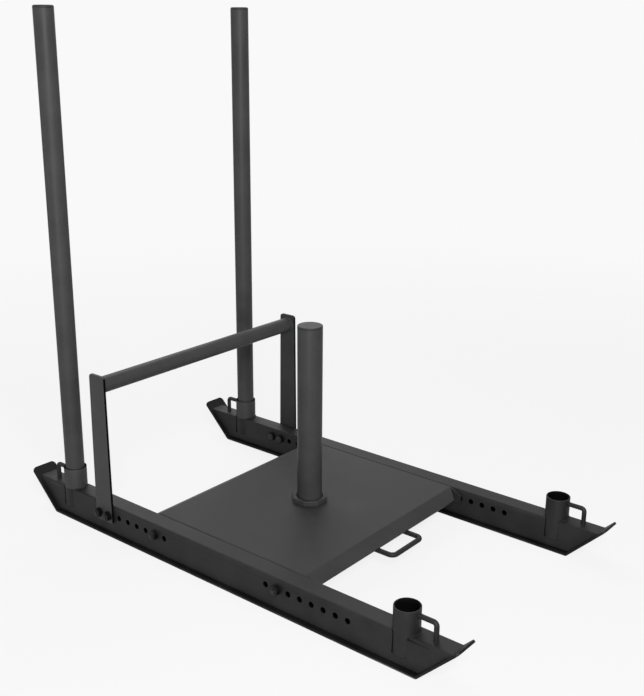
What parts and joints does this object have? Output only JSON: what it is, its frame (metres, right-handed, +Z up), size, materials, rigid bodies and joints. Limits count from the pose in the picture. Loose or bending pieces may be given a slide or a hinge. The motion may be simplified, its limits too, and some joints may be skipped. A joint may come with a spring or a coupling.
{
  "type": "weight sled",
  "caption": "Push and pull weight sled: two skid rails, folded deck with a plate post, low bar, lift-out push poles in sockets and rod loops for straps.",
  "frame": {"origin": "on the ground under the middle of the sled, midway between the rails and midway between their ends", "axes": "+X forward, towards the pull loop; +Y to the left; +Z up"},
  "size_m": [1.071, 0.5938, 1.023],
  "materials": {
    "frame_paint": "satin black powder coat",
    "skid_paint": "satin black powder coat",
    "deck_paint": "satin black powder coat",
    "bar_paint": "satin black powder coat",
    "cap_plastic": "moulded black plastic",
    "hardware": "black-finished steel"
  },
  "bodies": {
    "sled": {"left_rail": "frame_paint", "right_rail": "frame_paint", "left_skid_plate": "skid_paint", "right_skid_plate": "skid_paint", "front_left_socket": "frame_paint", "front_right_socket": "frame_paint", "rear_left_socket": "frame_paint", "rear_right_socket": "frame_paint", "front_left_anchor_loop": "frame_paint", "front_right_anchor_loop": "frame_paint", "rear_left_anchor_loop": "frame_paint", "rear_right_anchor_loop": "frame_paint", "low_bar_tube": "bar_paint", "left_bar_plate": "frame_paint", "right_bar_plate": "frame_paint", "deck_plate": "deck_paint", "weight_post": "deck_paint", "post_cap": "cap_plastic", "post_collar": "deck_paint", "pull_loop": "frame_paint", "bar_bolts": "hardware", "bar_washers": "hardware", "bar_nuts": "hardware", "deck_bolts": "hardware", "deck_washers": "hardware", "deck_nuts": "hardware"},
    "left_pole": {"left_push_pole": "bar_paint", "left_pole_cap": "cap_plastic"},
    "right_pole": {"right_push_pole": "bar_paint", "right_pole_cap": "cap_plastic"}
  },
  "joints": [
    {"name": "left_pole_lift", "type": "slide", "parent": "sled", "child": "left_pole", "axis": [0, 0, 1], "range_m": [0, 0.1]},
    {"name": "right_pole_lift", "type": "slide", "parent": "sled", "child": "right_pole", "axis": [0, 0, 1], "range_m": [0, 0.1]}
  ]
}
